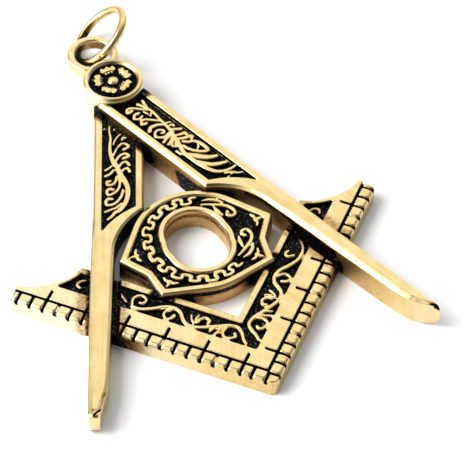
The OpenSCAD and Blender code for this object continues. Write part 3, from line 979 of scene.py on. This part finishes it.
# The panel, the cuts and the corners beside the legs are black. Brown lingers on the outer walls beside the
# legs, and on the thin rim beside the roundel and its lower points.
square_up = square_at[:, 2]
on_teeth = (square_t < 0) * (square_t > -1.57) * (square_up > 1.38)
to_cut = np.abs(square_s[:, None] - np.array([-0.37, *cuts[1:-1]])).min(axis=1)
from_disc = np.hypot(spread[:, 0], spread[:, 1] + roundel_drop) - roundel_outer
from_point = np.hypot(np.abs(spread[:, 0]) - lower_point[0], spread[:, 1] + roundel_drop - lower_point[1])
square_black = np.maximum.reduce([
    (square_t > -0.45) * (square_t < 5.1) * fade(1.64, 1.84, square_up),
    (to_cut < 0.2) * on_teeth * fade(1.72, 1.88, square_up),
    fade(0.5, 1.25, inside),
    0.62 * fade(0.2, 1.3, outside),
    0.34 * fade(1.2, 2.4, np.minimum(inside, outside)),
    0.6 * (square_t < -1.5) * (square_up < 1.6) * fade(0.8, 6.0, inside),
    0.45 * (square_t > 4.5) * fade(0.5, 2.4, from_disc),
    0.9 * (square_t > 4.4) * fade(0.9, 2.0, from_point),
])
# The outer walls are painted paler towards the left, a painted reflection of the light from that side
finish_casting(square, square_place, sunk=square_black, cast_walls=0.3 - 1.1 * fade(-16, 2, spread[:, 0]))


# Roundel
# A pierced disc between square and compasses, with four points. Half-round rims stand round its sunk band.
roundel_height = 2.6
hole_half_width = 3.1
hole_stretch = 1.05
hole_rim = 0.8
outer_rim = 0.85
rim_foot = 1.9
vine_radius = 5.42
vine_foot = 1.95
vine_top = 2.68
disc_points = [side_point, lower_point, *[(-x, y) for x, y in (side_point, lower_point)]]


def pointed_outline(inset=0.0):
    """The disc's outline with its four points, anticlockwise, brought in by an inset."""
    radius = roundel_outer - inset
    corners = []
    spans = []
    for x, y in disc_points:
        reach = math.hypot(x, y) - inset * 1.25
        spans.append((math.atan2(y, x), math.acos(radius / reach)))
        corners.append((math.atan2(y, x), reach))
    for angle in np.linspace(-math.pi, math.pi, 240, endpoint=False):
        far = radius
        for heading, half in spans:
            off = abs((angle - heading + math.pi) % (2 * math.pi) - math.pi)
            if off < half:
                # The straight side from the tip to where it meets the disc
                far = max(far, radius / math.cos(half - off))
        corners.append((angle, far))
    return [(far * math.cos(angle), far * math.sin(angle)) for angle, far in sorted(corners)]


def oval_outline(half_width=hole_half_width):
    """The hole's oval outline, anticlockwise."""
    line = []
    for k in range(96):
        angle = 2 * math.pi * k / 96
        y = half_width * math.sin(angle)
        line.append((half_width * math.cos(angle), y + math.copysign(hole_stretch, y)))
    return line


def by_angle(line, angles):
    """How far an outline lies from the centre at the angles."""
    at = np.array([math.atan2(y, x) for x, y in line])
    far = np.array([math.hypot(x, y) for x, y in line])
    order = np.argsort(at)
    return np.interp(angles, at[order], far[order], period=2 * math.pi)


def washer(rings):
    """A pierced solid through rings of (outline, height), which go round its section once. Read by angle."""
    even = np.linspace(-math.pi, math.pi, 240)[:-1]
    angles = sorted({*even, *[math.atan2(y, x) for x, y in rings[0][0]]})
    count = len(angles)
    vertices, faces = [], []
    for ring, (line, z) in enumerate(rings):
        vertices += [(f * math.cos(a), f * math.sin(a), z) for a, f in zip(angles, by_angle(line, angles))]
        here, after = ring * count, (ring + 1) % len(rings) * count
        for k in range(count):
            following = (k + 1) % count
            faces.append([here + k, here + following, after + following, after + k])
    return vertices, faces


def bead(outline_at, width):
    """A rounded rim between insets of an outline."""
    side = [(0, rim_foot)]
    for inset, rise in ((0, -0.32), (0.05, -0.15), (0.14, -0.03), (0.24, 0.03)):
        side.append((inset, roundel_height + rise))
    rings = [(outline_at(inset), z) for inset, z in side]
    return washer(rings + [(outline_at(width - inset), z) for inset, z in side[::-1]])


plate_outline, hole_outline = pointed_outline(), oval_outline()
roundel_solids = [
    washer([(plate_outline, 0), (plate_outline, 2.0), (hole_outline, 2.0), (hole_outline, 0)]),
    bead(pointed_outline, outer_rim),
    bead(lambda inset: oval_outline(hole_half_width + hole_rim - inset), hole_rim),
]
# The vine, a meander of rounded loops that ends in a leaf spray on either side of the right-hand points
waves = 12
points_per_wave = 18
vine = []
for k in range(waves * points_per_wave + 1):
    turn = k / points_per_wave * 2 * math.pi
    share = k / (waves * points_per_wave)
    swing = 0.41 + 0.07 * math.sin(share * 23) + 0.04 * math.sin(share * 61)
    angle = math.radians(70 + 232 * share) + 0.045 * math.sin(2 * turn) + 0.012 * math.sin(share * 37)
    out = vine_radius - 0.08 * math.cos(2 * angle) + swing * math.cos(turn)
    vine.append((out * math.cos(angle), (out + 0.16) * math.sin(angle)))
vine_widths = (0.4, 0.48, 0.4, 0.52, 0.42, 0.5, 0.36)
roundel_solids.append(ridge(vine_widths, vine, vine_foot, vine_top, flare=0.0, steps=2))
spray = [
    # The stem with its curl, then comma-shaped leaves, by angle and radius outwards from the vine's end
    ((0.3, 0.46, 0.48, 0.42, 0.5), [
        (62, 5.0), (54, 5.15), (45, 5.4), (36, 5.75), (27, 5.85), (20, 5.55), (20, 5.0), (25, 4.8),
        (28, 5.1)]),
    ((0.2, 0.5, 0.5, 0.2), [(62, 5.6), (55, 5.9), (47, 6.02), (40, 6.0)]),
    ((0.2, 0.48, 0.5, 0.2), [(47, 5.0), (41, 4.7), (35, 4.5), (29, 4.45)]),
]
leaves = []
for hand in (1, -1):
    for widths, polar in spray:
        leaves.append((widths, [at_angle(far, 6 + hand * (angle - 6)) for angle, far in polar]))
# A trefoil in each point
for point in disc_points:
    out = Vector(point).normalized()
    side = Vector((-out.y, out.x))
    middle = Vector(point) - out * 2.1
    leaves.append(((0.34, 0.5, 0.24), [middle, middle + out * 0.4, middle + out * 0.8]))
    for hand in (1, -1):
        across = side * hand
        leaves.append(((0.24, 0.42, 0.3), [
            middle + across * 0.1, middle + out * 0.1 + across * 0.4, middle - out * 0.1 + across * 0.8]))
for widths, points in leaves:
    roundel_solids.append(ridge(widths, points, vine_foot, vine_top, flare=0.02))
roundel = fuse("roundel", roundel_solids, 0.07, roundel_height, 1.5, smooth=3, foot=True)
roundel_place = Matrix.Translation((0, -roundel_drop, 0))
roundel_at = coordinates(roundel)
roundel_up = roundel_at[:, 2]
roundel_angle = np.arctan2(roundel_at[:, 1], roundel_at[:, 0])
roundel_far = np.hypot(roundel_at[:, 0], roundel_at[:, 1])
in_band = smoothstep(0.35, 0.5, by_angle(plate_outline, roundel_angle) - roundel_far)
in_band *= smoothstep(0.35, 0.5, roundel_far - by_angle(hole_outline, roundel_angle))
# The walls are stained below the rims, and the rims are dark where the legs come near
roundel_black = np.maximum.reduce([
    in_band * fade(2.2, 2.42, roundel_up),
    np.where(roundel_far > 5, 0.75, 0.5) * (1 - in_band) * between(roundel_up, 1.35, 2.3, 0.3),
    0.9 * fade(0.2, 0.9, beside_legs(in_place(roundel_at, roundel_place))[0]),
])
finish_casting(roundel, roundel_place, sunk=roundel_black)


# Jump ring
# Round brass wire, gold plated and bent round, with its two ends closed up. It hangs loose in the eye and has
# come to rest hooked round the far side of the eye's band.
wire_radius = 0.497
ring_radius = 3.7
ring_gap = 0.02
ring_centre = np.array((1.46, 8.01, 3.05))
ring_turns = ((154.3, "Z"), (43, "Y"), (100, "Z"))
none_selected()
bpy.ops.mesh.primitive_circle_add(vertices=28, radius=wire_radius, location=(ring_radius, 0, 0),
                                  rotation=(math.pi / 2, 0, 0), fill_type="NOTHING")
jump_ring = bpy.context.object
jump_ring.name = "wire_ring"
bpy.ops.object.transform_apply(location=True, rotation=True, scale=True)
spin(140, 2 * math.pi - ring_gap)
ring_place = Matrix.Translation(ring_centre)
for angle, axis in ring_turns:
    ring_place = ring_place @ Matrix.Rotation(math.radians(angle), 4, axis)
jump_ring.data.transform(ring_place)
ring_at = coordinates(jump_ring)
ring_normals = coordinates(jump_ring, normals=True)
from_centre = ring_at - ring_centre
inwards = -np.einsum("ij,ij->i", ring_normals, from_centre) / np.linalg.norm(from_centre, axis=1)
leftwards = from_centre @ np.array((-0.92, 0.4, 0)) / ring_radius
# Painted shade: a painted dark reflection on the inner side of the ring's left part, and painted shade where
# the casting shuts the ring in. Both go in with the patina.
ring_dark_reflection = 0.62 * smoothstep(0.1, 0.6, inwards) * smoothstep(0.0, 0.55, leftwards)
ring_shade = smoothstep(0.1, 0.7, shut_in(ring_at, ring_normals, reach=1.5))
plate(jump_ring, np.maximum(ring_shade, ring_dark_reflection), np.zeros(len(ring_at)))
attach(jump_ring, "root")
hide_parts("jump_ring")
